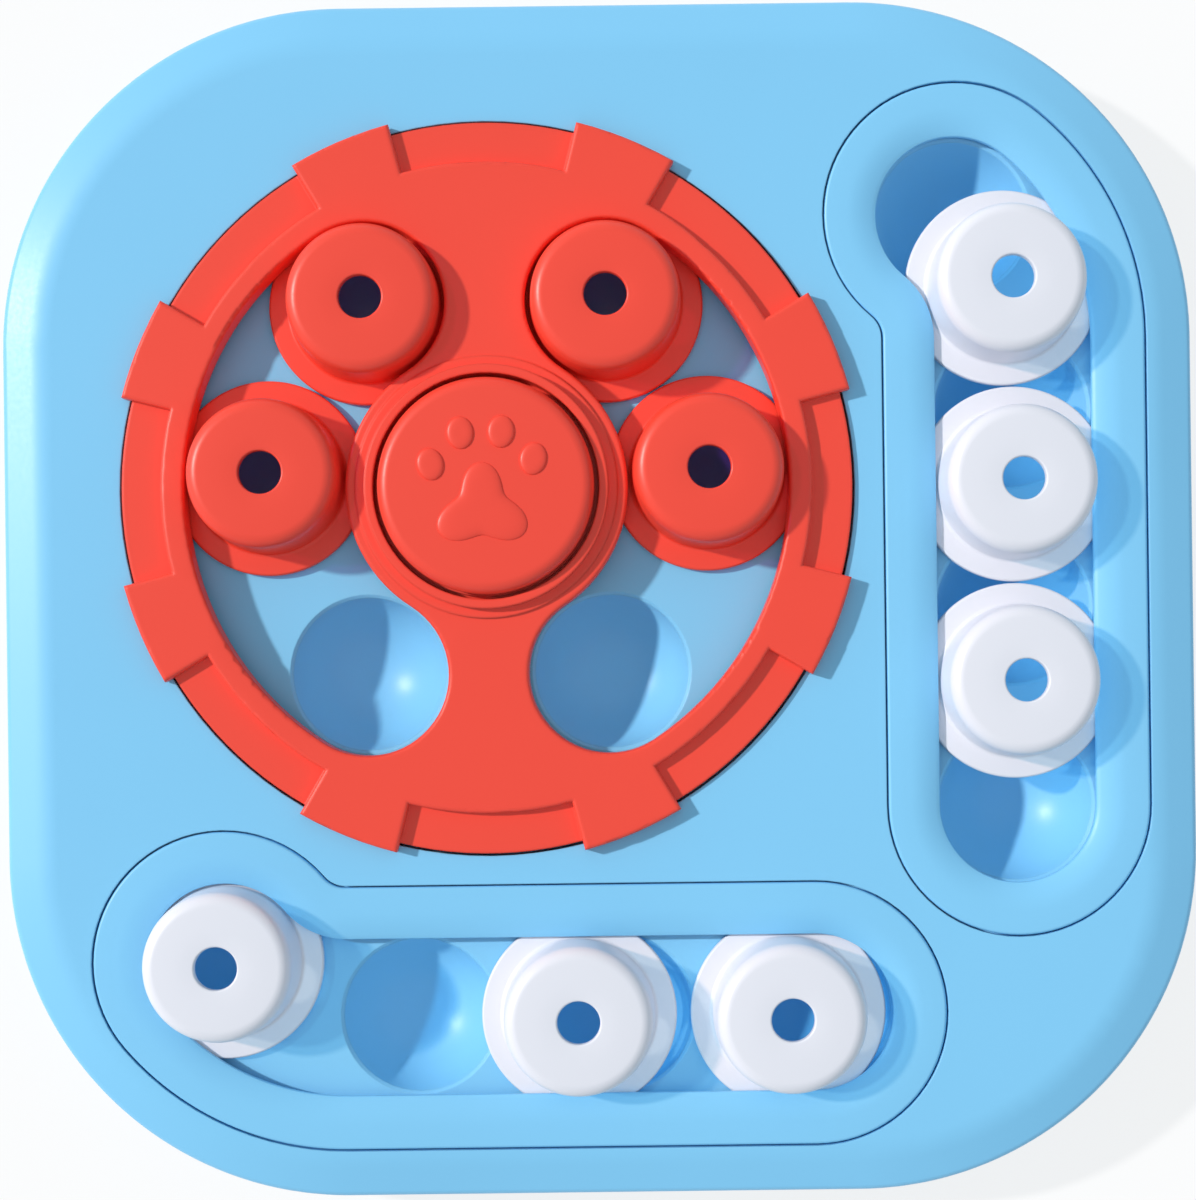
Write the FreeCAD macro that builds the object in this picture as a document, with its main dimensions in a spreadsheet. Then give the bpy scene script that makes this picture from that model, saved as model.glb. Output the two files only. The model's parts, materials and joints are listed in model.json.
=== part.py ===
import FreeCAD, Part
import os
import re

import Sketcher
from FreeCAD import Rotation, Vector

# Dog puzzle feeder: a square board with a steering wheel and two tracks of sliding knobs over treat wells.
# X runs to the right, Y away from the dog, Z up from the ground under the middle of the board.
# The right track is described; the front track is its mirror image across the board's diagonal Y = -X.
# Lengths are in millimetres and angles in degrees.
SIZES = {
    # Board
    "board_width": 283.0,
    "corner_radius": 80.7,
    "board_top": 26.5,
    "rim_gap": 1.5,
    "wall_thickness": 2.2,
    "shoulder_width": 9.8,
    "shoulder_drop": 3.2,
    "shoulder_blend": 18.0,
    "skirt_round": 2.0,
    "floor_top": 21.0,
    "rib_thickness": 1.8,
    "rib_low": 12.0,
    # Treat wells
    "well_radius": 18.4,
    "well_depth": 15.5,
    "well_wall": 2.0,
    "well_rim_bevel": 0.6,
    "well_pitch": 47.0,
    # Tracks
    "track_radius": 38.0,
    "track_arc_angle": 50.0,
    "track_end": 50.0,
    "slot_gap": 0.6,
    "flange_gap": 0.7,
    "cover_half_width": 31.0,
    "cover_gap": 0.4,
    "cover_thickness": 2.9,
    "cover_edge_round": 0.5,
    "lip_width": 7.0,
    "lip_drop": 1.7,
    "cover_screw_offset": 28.0,
    "cover_screw_spread": 36.0,
    "cover_pilot_skin": 1.1,
    # Screws
    "screw_radius": 1.25,
    "screw_head_radius": 2.6,
    "screw_head_height": 1.5,
    "screw_fit": 0.05,
    "screw_pass_gap": 0.4,
    "screw_cross_width": 0.9,
    "screw_cross_depth": 0.8,
    "cover_screw_length": 3.9,
    # Knobs and pegs
    "flange_radius": 23.2,
    "flange_thickness": 2.0,
    "flange_lift": 0.2,
    "flange_round": 0.6,
    "dome_radius": 18.0,
    "dome_taper": 0.5,
    "knob_height": 17.0,
    "knob_wall": 2.0,
    "knob_round": 3.0,
    "knob_foot_round": 1.0,
    "scent_hole_radius": 5.0,
    "scent_hole_round": 0.5,
    "knob_gap": 0.4,
    "right_last_back": 29.3,
    "front_last_back": 6.3,
    "front_middle_back": 2.9,
    # Wheel
    "wheel_offset": 26.2,
    "wheel_radius": 86.2,
    "recess_gap": 0.7,
    "wheel_lift": 0.3,
    "wheel_under_gap": 0.6,
    "wheel_rise": 4.0,
    "rim_low_rise": 1.3,
    "rib_outer_radius": 76.6,
    "rim_wall_gap": 1.0,
    "opening_gap": 1.0,
    "peg_ring_radius": 52.2,
    "opening_angle": 57.0,
    "wheel_well_angle": 56.3,
    "grip_overhang": 2.2,
    "grip_angle": 16.0,
    "grip_lift": 0.4,
    "wheel_round": 0.9,
    "hub_step_radius": 30.8,
    "hub_step_rise": 0.6,
    "collar_radius": 28.6,
    "collar_rise": 2.8,
    # Hub
    "turret_radius": 22.0,
    "turret_bore_radius": 17.0,
    "turret_bottom": 4.5,
    "bearing_gap": 0.1,
    "retainer_radius": 25.6,
    "retainer_gap": 0.3,
    "retainer_thickness": 1.8,
    "retainer_hole_radius": 12.6,
    "wheel_shelf_drop": 3.0,
    "hub_screw_ring": 19.5,
    "hub_screw_length": 8.0,
    # Horn button
    "button_radius": 25.3,
    "button_gap": 1.2,
    "button_height": 37.0,
    "button_wall": 1.8,
    "button_round": 1.5,
    "button_skirt": 4.5,
    "button_travel": 2.6,
    "stem_gap": 0.3,
    "stem_wall": 1.8,
    "stem_lip": 1.2,
    "stem_lip_height": 1.6,
    "stem_slot": 3.0,
    "stem_slot_height": 5.0,
    "paw_rise": 0.8,
    "paw_toe_length": 4.1,
    "paw_toe_width": 3.0,
    "paw_toe_ring": 12.4,
    "paw_pad_radius": 5.6,
    # Squeaker
    "bulb_radius": 14.5,
    "bulb_neck_radius": 11.5,
    "bulb_wall": 1.4,
    "bulb_gap": 0.2,
    "reed_radius": 3.8,
    "reed_flange_radius": 6.0,
    "reed_flange_thickness": 0.8,
    "reed_length": 6.0,
    "reed_bore_radius": 1.6,
    "reed_fit": 0.1,
    # Feet
    "foot_radius": 9.2,
    "foot_fit": 0.3,
    "foot_seat_depth": 1.5,
    "foot_seat_wall": 2.3,
    "foot_seat_plate": 1.5,
    "foot_edge": 0.8,
    "foot_stem_radius": 2.8,
    "foot_barb": 0.9,
    "foot_barb_height": 1.5,
    "foot_corner_inset": 14.7,
}

# Places and levels that follow from the sizes above
DERIVED = {
    "half_width": "board_width / 2",
    "corner_middle": "half_width - corner_radius",
    "floor_under": "floor_top - wall_thickness",
    "well_sphere": "(well_radius ^ 2 + well_depth ^ 2) / (2 * well_depth)",
    "well_middle": "floor_top - well_depth + well_sphere",
    "track_x": "corner_middle + track_radius",
    "arc_end_x": "corner_middle + track_radius * cos(track_arc_angle)",
    "arc_end_y": "corner_middle + track_radius * sin(track_arc_angle)",
    "slot_half": "dome_radius + slot_gap",
    "channel_half": "flange_radius + flange_gap",
    "cover_recess_half": "cover_half_width + cover_gap",
    "cover_under": "board_top - cover_thickness",
    "ledge_under": "cover_under - wall_thickness",
    "knob_low": "floor_top + flange_lift",
    "flange_top": "knob_low + flange_thickness",
    "touch": "2 * flange_radius + knob_gap",
    "right_last_y": "right_last_back - track_end",
    "right_middle_y": "right_last_y + touch",
    "right_reach": "corner_middle - right_middle_y",
    "right_slant": "sqrt(track_radius ^ 2 + right_reach ^ 2)",
    "right_first_gap": "touch ^ 2 - 2 * track_radius ^ 2 - right_reach ^ 2",
    "right_first_sine": "right_first_gap / (2 * track_radius * right_slant)",
    "right_first_angle": "(asin(right_first_sine) + atan(track_radius / right_reach)) / (1 deg)",
    "front_last_x": "track_end - front_last_back",
    "front_middle_x": "front_last_x - touch - front_middle_back",
    "wheel_under": "flange_top + wheel_under_gap",
    "wheel_top": "board_top + wheel_rise",
    "rim_low_top": "board_top + rim_low_rise",
    "rim_inner_radius": "peg_ring_radius + opening_half",
    "hub_disc_radius": "peg_ring_radius - opening_half",
    "opening_half": "dome_radius + opening_gap",
    "peg_touch_angle": "2 * asin(touch / (2 * peg_ring_radius)) / (1 deg)",
    "peg_lower_angle": "opening_angle - peg_touch_angle",
    "shelf_top": "wheel_top - wheel_shelf_drop",
    "retainer_low": "shelf_top + retainer_gap",
    "retainer_top": "retainer_low + retainer_thickness",
    "hub_hole_radius": "button_radius + button_gap",
    "button_low": "button_height - button_skirt",
    "stem_radius": "retainer_hole_radius - stem_gap",
    "stem_low": "retainer_low - stem_gap - stem_lip_height",
    "turret_floor_top": "turret_bottom + wall_thickness",
    "bulb_low": "turret_floor_top + reed_flange_thickness",
    "bulb_high": "stem_low - bulb_gap",
    "foot_place": "corner_middle + (corner_radius - foot_corner_inset) * cos(45)",
    "foot_seat_top": "rim_gap + foot_seat_depth + foot_seat_plate",
    "cover_outer": "track_x + cover_screw_offset",
    "cover_inner": "track_x - cover_screw_offset",
}

CLEAR = "60"  # cutters stand at least this far clear above the board
GRIPS = 8
WELLS_PER_STRAIGHT = 3
HUB_SCREWS = 3
TINY = 1e-6

SHEET = "sizes"
doc = FreeCAD.newDocument("puzzle_feeder")
sheet = doc.addObject("Spreadsheet::Sheet", SHEET)
for row, (alias, size) in enumerate(SIZES.items(), start=1):
    sheet.set(f"A{row}", alias)
    sheet.set(f"B{row}", str(size))
    sheet.setAlias(f"B{row}", alias)
doc.recompute()

DERIVED_WORD = re.compile(r"\b(" + "|".join(DERIVED) + r")\b")
SIZE_WORD = re.compile(r"\b(" + "|".join(SIZES) + r")\b")


def bound(text):
    """Expression text with every derived name written out and every size read from the sheet."""
    while DERIVED_WORD.search(text):
        text = DERIVED_WORD.sub(lambda found: "(" + DERIVED[found.group(1)] + ")", text)
    return SIZE_WORD.sub(SHEET + r".\1", text)


def value(text):
    """Number that an expression has with the sheet's present sizes."""
    result = sheet.evalExpression(bound(text))
    return float(getattr(result, "Value", result))


def bind(thing, **expressions):
    for prop, text in expressions.items():
        thing.setExpression(prop, bound(text))


def place(thing, x="0", y="0", z="0", turn="0"):
    """Bind where a thing stands and how far it is turned about the upright."""
    thing.Placement.Rotation = Rotation(Vector(0, 0, 1), value(turn))
    for axis, text in zip("xyz", (x, y, z)):
        thing.setExpression(f"Placement.Base.{axis}", bound(text))
    if turn != "0":
        thing.setExpression("Placement.Rotation.Angle", bound(turn))
    return thing


def cylinder(name, radius, low, high, x="0", y="0", angle="360", turn="0"):
    thing = doc.addObject("Part::Cylinder", name)
    bind(thing, Radius=radius, Height=f"({high}) - ({low})", Angle=angle)
    return place(thing, x, y, low, turn)


def box(name, left, right, front, back, low, high):
    thing = doc.addObject("Part::Box", name)
    bind(thing, Length=f"({right}) - ({left})", Width=f"({back}) - ({front})", Height=f"({high}) - ({low})")
    return place(thing, left, front, low)


def centred_box(name, length, width, low, high, x="0", y="0", turn="0"):
    """Box with one short side on its own axis, turned about that axis."""
    thing = doc.addObject("Part::Box", name)
    bind(thing, Length=length, Width=width, Height=f"({high}) - ({low})")
    swing = value(turn)
    thing.Placement.Rotation = Rotation(Vector(0, 0, 1), swing)
    bind(thing, **{"Placement.Base.x": f"({x}) + ({width}) / 2 * sin({turn})"})
    bind(thing, **{"Placement.Base.y": f"({y}) - ({width}) / 2 * cos({turn})"})
    bind(thing, **{"Placement.Base.z": low, "Placement.Rotation.Angle": turn})
    return thing


def fuse(name, things):
    joined = doc.addObject("Part::MultiFuse", name)
    joined.Shapes = things
    joined.Refine = True
    return joined


def cut(name, base, tool):
    rest = doc.addObject("Part::Cut", name)
    rest.Base = base
    rest.Tool = tool
    rest.Refine = True
    return rest


def mirrored(name, source):
    """Copy across the board's diagonal."""
    copy = doc.addObject("Part::Mirroring", name)
    copy.Source = source
    copy.Normal = Vector(1, 1, 0)
    return copy


def outline(body, name, plane, corners, lift="0"):
    """Closed sketch with straight sides; each corner is a pair of expressions."""
    sketch = body.newObject("Sketcher::SketchObject", name)
    support = next(item for item in body.Origin.OriginFeatures if item.Role == plane)
    sketch.AttachmentSupport = (support, [""])
    sketch.MapMode = "FlatFace"
    if lift != "0":
        sketch.setExpression("AttachmentOffset.Base.z", bound(lift))
    points = [Vector(value(x), value(y), 0) for x, y in corners]
    count = len(points)
    for index in range(count):
        sketch.addGeometry(Part.LineSegment(points[index], points[(index + 1) % count]), False)
    for index in range(count):
        sketch.addConstraint(Sketcher.Constraint("Coincident", index, 2, (index + 1) % count, 1))
    for index, pair in enumerate(corners):
        for kind, axis, text in zip(("DistanceX", "DistanceY"), (-2, -1), pair):
            number = value(text)
            if abs(number) < TINY:
                sketch.addConstraint(Sketcher.Constraint("PointOnObject", index, 1, axis))
            else:
                which = sketch.addConstraint(Sketcher.Constraint(kind, -1, 1, index, 1, number))
                sketch.setExpression(f"Constraints[{which}]", bound(text))
    return sketch


def turned(name, corners):
    """Body turned about the upright from a profile of radius and height pairs."""
    body = doc.addObject("PartDesign::Body", name)
    sketch = outline(body, name + "_profile", "XZ_Plane", corners)
    feature = body.newObject("PartDesign::Revolution", name + "_turned")
    feature.Profile = sketch
    feature.ReferenceAxis = (sketch, ["V_Axis"])
    feature.Angle = 360
    doc.recompute()
    return body


def dress(body, kind, name, chosen, **expressions):
    """Add a fillet or chamfer on the edges of the body's last feature that pass the test."""
    last = body.Tip
    names = [f"Edge{number}" for number, edge in enumerate(last.Shape.Edges, start=1) if chosen(edge)]
    if not names:
        raise ValueError(f"{name}: no edge to dress")
    feature = body.newObject(kind, name)
    feature.Base = (last, names)
    for prop in [key for key in expressions if key == "ChamferType"]:
        feature.ChamferType = expressions.pop(prop)
    bind(feature, **expressions)
    doc.recompute()
    return feature


def ring_at(radius, height):
    """Test for a full circle about the body's own axis."""
    size, level = value(radius), value(height)

    def chosen(edge):
        curve = edge.Curve
        if not isinstance(curve, Part.Circle):
            return False
        off_axis = abs(curve.Center.x) + abs(curve.Center.y)
        return abs(curve.Radius - size) < 1e-4 and abs(curve.Center.z - level) < 1e-4 and off_axis < 1e-4

    return chosen


def level_at(height):
    """Test for an edge that lies wholly at one height."""
    level = value(height)

    def chosen(edge):
        bounds = edge.BoundBox
        return abs(bounds.ZMin - level) < 1e-4 and abs(bounds.ZMax - level) < 1e-4

    return chosen


def upright(edge):
    """Test for a straight upright edge."""
    bounds = edge.BoundBox
    return bounds.XLength < 1e-4 and bounds.YLength < 1e-4 and bounds.ZLength > 1e-3


FILLET = "PartDesign::Fillet"
CHAMFER = "PartDesign::Chamfer"


# Board


def slab(name, inset, low, high):
    """Square block with round corners and the board's sloping shoulder."""
    side = f"(half_width - ({inset}))"
    body = doc.addObject("PartDesign::Body", name)
    square = [("-" + side, "-" + side), (side, "-" + side), (side, side), ("-" + side, side)]
    sketch = outline(body, name + "_square", "XY_Plane", square, low)
    pad = body.newObject("PartDesign::Pad", name + "_pad")
    pad.Profile = sketch
    bind(pad, Length=f"({high}) - ({low})")
    doc.recompute()
    dress(body, FILLET, name + "_corners", upright, Radius=f"corner_radius - ({inset})")
    dress(
        body, CHAMFER, name + "_shoulder", level_at(high),
        ChamferType="Two distances", Size="shoulder_drop", Size2="shoulder_width",
    )
    dress(body, FILLET, name + "_blend", level_at(high), Radius="shoulder_blend")
    return body


def track(name, half, low, high):
    """The right track's plan, a given half width each side of its middle line."""
    pieces = [
        box(
            name + "_straight", f"track_x - ({half})", f"track_x + ({half})",
            "-track_end", "corner_middle", low, high,
        ),
        cylinder(name + "_near_end", half, low, high, "track_x", "-track_end"),
        cylinder(name + "_far_end", half, low, high, "arc_end_x", "arc_end_y"),
    ]
    sector = cylinder(
        name + "_sector", f"track_radius + ({half})", low, high, "corner_middle", "corner_middle", "track_arc_angle"
    )
    inside = f"track_radius - ({half})"
    core = cylinder(name + "_core", inside, f"({low}) - 1", f"({high}) + 1", "corner_middle", "corner_middle")
    pieces.append(cut(name + "_bend", sector, core))
    return fuse(name, pieces)


def both_tracks(name, half, low, high):
    right = track(name + "_right", half, low, high)
    return [right, mirrored(name + "_front", right)]


def well_places():
    """Middles of all the wells as pairs of expressions."""
    places = [("arc_end_x", "arc_end_y")]
    for step in range(WELLS_PER_STRAIGHT):
        places.append(("track_x", f"({step} * well_pitch - track_end)"))
    places += [(f"-({y})", f"-({x})") for x, y in places]
    for side in (0, 180):
        for swing in ("-wheel_well_angle", "0", "wheel_well_angle"):
            angle = f"({side} + {swing})"
            x = f"peg_ring_radius * cos({angle}) - wheel_offset"
            y = f"peg_ring_radius * sin({angle}) + wheel_offset"
            places.append((x, y))
    return places


def bowl(name, radius, x, y):
    """Lower half of a ball."""
    thing = doc.addObject("Part::Sphere", name)
    thing.Angle1 = -90
    thing.Angle2 = 0
    bind(thing, Radius=radius)
    return place(thing, x, y, "well_middle")


def rim_bevel(name, x, y):
    thing = doc.addObject("Part::Cone", name)
    bind(thing, Radius1="well_radius - 0.02", Radius2="well_radius + well_rim_bevel", Height="well_rim_bevel")
    return place(thing, x, y, "floor_top - well_rim_bevel")


def cover_screw_places():
    """Screw places of the right cover, on its own middle line between slot and edge."""
    half_spread = "cover_screw_spread / 2"
    far_x = "arc_end_x - cover_screw_offset * sin(track_arc_angle)"
    far_y = "arc_end_y + cover_screw_offset * cos(track_arc_angle)"
    return [
        ("cover_outer", half_spread),
        ("cover_outer", f"-({half_spread})"),
        ("cover_inner", half_spread),
        ("cover_inner", f"-({half_spread})"),
        ("track_x", "-track_end - cover_screw_offset"),
        (far_x, far_y),
    ]


def hub_screw_places():
    places = []
    for number in range(HUB_SCREWS):
        angle = 90 + 360 * number // HUB_SCREWS
        x = f"hub_screw_ring * cos({angle}) - wheel_offset"
        y = f"hub_screw_ring * sin({angle}) + wheel_offset"
        places.append((x, y))
    return places


FOOT_PLACES = {
    "foot_back_left": ("-foot_place", "foot_place"),
    "foot_back_right": ("foot_place", "foot_place"),
    "foot_front_left": ("-foot_place", "-foot_place"),
    "foot_front_right": ("foot_place", "-foot_place"),
}


def make_base_board():
    outer = slab("board_outer", "0", "rim_gap", "board_top")
    dress(outer, FILLET, "board_outer_skirt", level_at("board_top - shoulder_drop"), Radius="skirt_round")
    inner = slab("board_inner", "wall_thickness", "0", "board_top - wall_thickness")
    shell = cut("board_shell", outer, inner)

    hub = ("-wheel_offset", "wheel_offset")
    inside = "board_top - wall_thickness / 2"
    solid = [shell]
    solid.append(cylinder("wheel_tub", "wheel_radius + recess_gap + wall_thickness", "floor_under", inside, *hub))
    solid += both_tracks("ledge_tub", "cover_recess_half + wall_thickness", "ledge_under", inside)
    solid += both_tracks("channel_tub", "channel_half + wall_thickness", "floor_under", "cover_under")
    solid += [bowl(f"well_outside_{n}", "well_sphere + well_wall", *spot) for n, spot in enumerate(well_places())]
    solid.append(cylinder("turret_below", "turret_radius", "turret_bottom", "floor_top", *hub))
    half_rib = "rib_thickness / 2"
    reach = "half_width - wall_thickness / 2"
    for number, line in enumerate(("corner_middle", "-corner_middle")):
        near, far = f"{line} - {half_rib}", f"{line} + {half_rib}"
        solid.append(box(f"rib_along_{number}", f"-({reach})", reach, near, far, "rib_low", "floor_top + 1"))
        solid.append(box(f"rib_across_{number}", near, far, f"-({reach})", reach, "rib_low", "floor_top + 1"))
    for name, (x, y) in FOOT_PLACES.items():
        seat = "foot_radius + foot_fit + foot_seat_wall"
        solid.append(cylinder(name + "_seat", seat, "rim_gap", "foot_seat_top", x, y))
        post = "foot_stem_radius + foot_barb + foot_seat_wall + 1"
        solid.append(cylinder(name + "_post", post, "foot_seat_top - 0.5", inside, x, y))
    blank = fuse("board_blank", solid)

    void = [cylinder("wheel_recess", "wheel_radius + recess_gap", "floor_top", CLEAR, *hub)]
    void += both_tracks("cover_recess", "cover_recess_half", "cover_under", CLEAR)
    void += both_tracks("channel", "channel_half", "floor_top", CLEAR)
    void += [bowl(f"well_{n}", "well_sphere", *spot) for n, spot in enumerate(well_places())]
    void += [rim_bevel(f"well_bevel_{n}", *spot) for n, spot in enumerate(well_places())]
    for name, (x, y) in FOOT_PLACES.items():
        void.append(cylinder(name + "_recess", "foot_radius + foot_fit", "0", "rim_gap + foot_seat_depth", x, y))
        void.append(cylinder(name + "_hole", "foot_stem_radius + foot_fit", "0", "foot_seat_top + 1", x, y))
        hollow = "foot_stem_radius + foot_barb + 1"
        void.append(cylinder(name + "_hollow", hollow, "foot_seat_top", "ledge_under - wall_thickness", x, y))
    places = cover_screw_places()
    places += [(f"-({y})", f"-({x})") for x, y in places]
    for n, (x, y) in enumerate(places):
        void.append(cylinder(f"cover_screw_pass_{n}", "screw_radius + screw_pass_gap", "floor_top", CLEAR, x, y))
        void.append(cylinder(f"cover_screw_seat_{n}", "screw_head_radius + screw_pass_gap", "0", "ledge_under", x, y))
    hollowed = cut("board_hollowed", blank, fuse("board_voids", void))

    turret = cylinder("turret", "turret_radius", "turret_bottom", "retainer_low", *hub)
    standing = fuse("board_standing", [hollowed, turret])
    bores = [cylinder("turret_bore", "turret_bore_radius", "turret_floor_top", CLEAR, *hub)]
    bores.append(cylinder("sound_hole", "reed_radius + reed_fit", "0", CLEAR, *hub))
    for n, (x, y) in enumerate(hub_screw_places()):
        low = "retainer_top - hub_screw_length - 1"
        bores.append(cylinder(f"hub_pilot_{n}", "screw_radius + screw_fit", low, CLEAR, x, y))
    return cut("base_board", standing, fuse("turret_bores", bores))


# Track covers


def make_cover_blank():
    plate = track("cover_plate", "cover_half_width", "cover_under", "board_top")
    slot = track("cover_slot", "slot_half", "cover_under - 1", CLEAR)
    pilots = []
    for n, (x, y) in enumerate(cover_screw_places()):
        pilots.append(
            cylinder(
                f"cover_pilot_{n}", "screw_radius + screw_fit",
                "cover_under - 1", "board_top - cover_pilot_skin", x, y,
            )
        )
    return cut("cover_blank", plate, fuse("cover_holes", [slot] + pilots))


def make_covers():
    blank = make_cover_blank()
    doc.recompute()
    body = doc.addObject("PartDesign::Body", "track_cover_right")
    body.BaseFeature = blank
    doc.recompute()
    at_top = level_at("board_top")
    slot = blank.Tool.Shapes[0].Shape

    def of_slot(edge):
        return at_top(edge) and slot.distToShape(Part.Vertex(edge.valueAt(edge.FirstParameter)))[0] < 1e-3

    def of_rim(edge):
        return at_top(edge) and not of_slot(edge)

    dress(body, FILLET, "cover_rim_round", of_rim, Radius="cover_edge_round")
    dress(
        body, CHAMFER, "cover_lip", of_slot,
        ChamferType="Two distances", Size="lip_width", Size2="lip_drop",
    )
    right = body
    front = mirrored("track_cover_front", right)
    return [right, front]


# Screws


def screw(name, x, y, seat, length, head_up):
    """Pan head screw; seat is the height of the face that its head bears on."""
    sign = "+" if head_up else "-"
    head_far = f"{seat} {sign} screw_head_height"
    tip = f"{seat} - ({length})" if head_up else f"{seat} + ({length})"
    low, high = (seat, head_far) if head_up else (head_far, seat)
    head = cylinder(name + "_head", "screw_head_radius", low, high, x, y)
    shank_low, shank_high = (tip, seat) if head_up else (seat, tip)
    shank = cylinder(name + "_shank", "screw_radius", shank_low, shank_high, x, y)
    near = f"{head_far} - screw_cross_depth" if head_up else f"{head_far} - 1"
    far = f"{head_far} + 1" if head_up else f"{head_far} + screw_cross_depth"
    arm, thin = "(screw_head_radius * 0.62)", "(screw_cross_width / 2)"
    long_way = box(name + "_cross_a", f"{x} - {arm}", f"{x} + {arm}", f"{y} - {thin}", f"{y} + {thin}", near, far)
    wide_way = box(name + "_cross_b", f"{x} - {thin}", f"{x} + {thin}", f"{y} - {arm}", f"{y} + {arm}", near, far)
    return cut(name, fuse(name + "_solid", [head, shank]), fuse(name + "_cross", [long_way, wide_way]))


def group(name, things):
    together = doc.addObject("Part::Compound", name)
    together.Links = things
    return together


def make_screws():
    right = [
        screw(f"cover_screw_{n}", f"({x})", f"({y})", "ledge_under", "cover_screw_length", False)
        for n, (x, y) in enumerate(cover_screw_places())
    ]
    right_group = group("cover_screws_right", right)
    front_group = mirrored("cover_screws_front", right_group)
    hub = [
        screw(f"hub_screw_{n}", f"({x})", f"({y})", "retainer_top", "hub_screw_length", True)
        for n, (x, y) in enumerate(hub_screw_places())
    ]
    return [right_group, front_group, group("hub_screws", hub)]


# Knobs and pegs


def knob(name, x, y):
    """Hollow capped knob with a wide flange and a scent hole, standing on its flange."""
    top = "knob_height"
    tip = "dome_radius - dome_taper"
    body = turned(
        name,
        [
            ("dome_radius - knob_wall", "0"),
            ("flange_radius", "0"),
            ("flange_radius", "flange_thickness"),
            ("dome_radius", "flange_thickness"),
            (tip, top),
            ("scent_hole_radius", top),
            ("scent_hole_radius", "knob_height - knob_wall"),
            (f"{tip} - knob_wall", "knob_height - knob_wall"),
        ],
    )
    dress(body, FILLET, name + "_shoulder", ring_at(tip, top), Radius="knob_round")
    dress(body, FILLET, name + "_foot", ring_at("dome_radius", "flange_thickness"), Radius="knob_foot_round")
    dress(body, FILLET, name + "_edge", ring_at("flange_radius", "flange_thickness"), Radius="flange_round")
    dress(body, FILLET, name + "_hole", ring_at("scent_hole_radius", top), Radius="scent_hole_round")
    return place(body, x, y, "knob_low")


def make_knobs():
    knobs = []
    first_x = "corner_middle + track_radius * cos(right_first_angle)"
    first_y = "corner_middle + track_radius * sin(right_first_angle)"
    first = (first_x, first_y)
    knobs.append(knob("knob_right_1", *first))
    knobs.append(knob("knob_right_2", "track_x", "right_middle_y"))
    knobs.append(knob("knob_right_3", "track_x", "right_last_y"))
    knobs.append(knob("knob_front_1", "-arc_end_y", "-arc_end_x"))
    knobs.append(knob("knob_front_2", "front_middle_x", "-track_x"))
    knobs.append(knob("knob_front_3", "front_last_x", "-track_x"))
    angles = {
        "peg_left_upper": "(180 - opening_angle)",
        "peg_left_lower": "(180 - peg_lower_angle)",
        "peg_right_upper": "opening_angle",
        "peg_right_lower": "peg_lower_angle",
    }
    for name, angle in angles.items():
        x = f"peg_ring_radius * cos({angle}) - wheel_offset"
        y = f"peg_ring_radius * sin({angle}) + wheel_offset"
        knobs.append(knob(name, x, y))
    return knobs


# Steering wheel, made about its own axis and then set on the board


def kidney(name, start):
    """Cutter of one opening: a bent slot round the hub."""
    low, high = "0", CLEAR
    turn = f"{start} - opening_angle"
    sector = cylinder(name + "_sector", "rim_inner_radius", low, high, angle="2 * opening_angle", turn=turn)
    core = cylinder(name + "_core", "hub_disc_radius", f"{low} - 1", f"{high} + 1")
    pieces = [cut(name + "_bend", sector, core)]
    for side, swing in (("first", "-opening_angle"), ("second", "opening_angle")):
        angle = f"({start} + {swing})"
        x, y = f"peg_ring_radius * cos({angle})", f"peg_ring_radius * sin({angle})"
        pieces.append(cylinder(f"{name}_{side}", "opening_half", low, high, x, y))
    return fuse(name, pieces)


def make_wheel():
    inner_wall = "peg_ring_radius + flange_radius + rim_wall_gap"
    rim_low = "floor_top + wheel_lift"
    low_ring = cylinder("rim_ring", "wheel_radius", rim_low, "rim_low_top")
    disc = cylinder("wheel_disc", "rib_outer_radius", "wheel_under", "wheel_top")
    solid = [low_ring, disc]
    grip_low = "board_top + grip_lift"
    for n in range(GRIPS):
        start = f"{360 * (n + 0.5) / GRIPS} - grip_angle / 2"
        solid.append(
            cylinder(
                f"grip_{n}", "wheel_radius + grip_overhang",
                grip_low, "wheel_top", angle="grip_angle", turn=start,
            )
        )
    blank = fuse("wheel_blank", solid)
    void = [
        cylinder("rim_inside", inner_wall, "0", "wheel_under"),
        kidney("opening_right", "0"),
        kidney("opening_left", "180"),
        cylinder("wheel_bore", "turret_radius + bearing_gap", "0", CLEAR),
        cylinder("wheel_hub_hole", "hub_hole_radius", "shelf_top", CLEAR),
    ]
    opened = cut("wheel_opened", blank, fuse("wheel_voids", void))
    doc.recompute()
    body = doc.addObject("PartDesign::Body", "wheel_body")
    body.BaseFeature = opened
    doc.recompute()
    dress(body, FILLET, "wheel_edges", level_at("wheel_top"), Radius="wheel_round")
    step = cylinder("hub_step", "hub_step_radius", "wheel_top - 1", "wheel_top + hub_step_rise")
    collar = cylinder("hub_collar", "collar_radius", "wheel_top - 1", "wheel_top + collar_rise")
    hole = cylinder("hub_collar_hole", "hub_hole_radius", "0", CLEAR)
    rings = cut("hub_rings", fuse("hub_ring_blank", [step, collar]), hole)
    wheel = fuse("steering_wheel", [body, rings])
    return place(wheel, "-wheel_offset", "wheel_offset")


# Hub


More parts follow.
